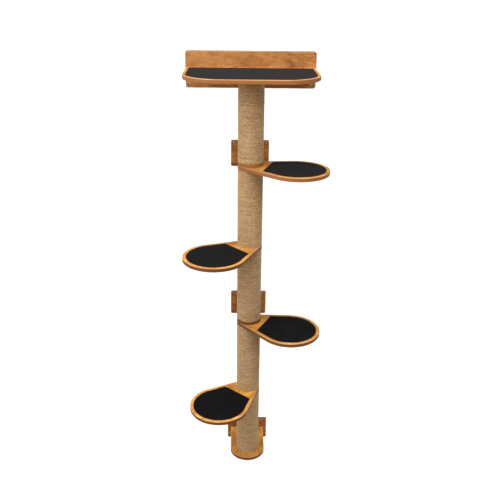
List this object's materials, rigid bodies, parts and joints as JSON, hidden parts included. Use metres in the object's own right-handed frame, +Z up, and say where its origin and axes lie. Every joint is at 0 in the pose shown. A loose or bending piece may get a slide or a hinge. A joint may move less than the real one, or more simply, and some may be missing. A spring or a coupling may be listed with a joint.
{
  "type": "cat tree",
  "caption": "Wall-mounted cat tree: a rope-wrapped column on wall brackets, with teardrop steps that turn about it and a wide shelf with rounded front corners on top, all with inlaid mats.",
  "frame": {"origin": "on the wall face of the base bracket plate, at the centre of its four screw holes", "axes": "+X to the right as seen by someone facing the wall, +Y into the wall, +Z up along the column"},
  "size_m": [0.6782, 0.509, 2.174],
  "materials": {
    "stained_wood": "stained and clear-lacquered birch plywood, satin",
    "mat_carpet": "short black needle-felt carpet",
    "sisal_rope": "natural twisted sisal, slightly fuzzy",
    "core_card": "spiral-wound card tube",
    "plain_wood": "unfinished plywood",
    "insert_brass": "satin",
    "zinc_steel": "bright zinc plate"
  },
  "bodies": {
    "column": {"wall_board": "stained_wood", "top_shelf": "stained_wood", "top_mat": "mat_carpet", "upper_plate": "stained_wood", "upper_arm": "stained_wood", "middle_plate": "stained_wood", "middle_arm": "stained_wood", "base_plate": "stained_wood", "base_board": "stained_wood", "rope_1": "sisal_rope", "rope_2": "sisal_rope", "rope_3": "sisal_rope", "rope_4": "sisal_rope", "rope_5": "sisal_rope", "core_tube_1": "core_card", "core_tube_2": "core_card", "core_tube_3": "core_card", "core_tube_4": "core_card", "core_tube_5": "core_card", "end_discs_1": "plain_wood", "end_discs_2": "plain_wood", "end_discs_3": "plain_wood", "end_discs_4": "plain_wood", "end_discs_5": "plain_wood", "threaded_inserts": "insert_brass", "joining_studs": "zinc_steel", "base_bolt": "zinc_steel", "base_washer": "zinc_steel", "top_bolt": "zinc_steel", "bracket_screws": "zinc_steel", "shelf_screws": "zinc_steel"},
    "step_1": {"step_board_1": "stained_wood", "step_mat_1": "mat_carpet"},
    "step_2": {"step_board_2": "stained_wood", "step_mat_2": "mat_carpet"},
    "step_3": {"step_board_3": "stained_wood", "step_mat_3": "mat_carpet"},
    "step_4": {"step_board_4": "stained_wood", "step_mat_4": "mat_carpet"}
  },
  "joints": [
    {"name": "step_1_turn", "type": "hinge", "parent": "column", "child": "step_1", "pos_m": [0, -0.19, 0.398], "axis": [0, 0, 1], "range_deg": [-57, 139]},
    {"name": "step_2_turn", "type": "hinge", "parent": "column", "child": "step_2", "pos_m": [0, -0.19, 0.796], "axis": [0, 0, 1], "range_deg": [-162, 34]},
    {"name": "step_3_turn", "type": "hinge", "parent": "column", "child": "step_3", "pos_m": [0, -0.19, 1.212], "axis": [0, 0, 1], "range_deg": [-50, 146]},
    {"name": "step_4_turn", "type": "hinge", "parent": "column", "child": "step_4", "pos_m": [0, -0.19, 1.61], "axis": [0, 0, 1], "range_deg": [-169, 27]}
  ]
}
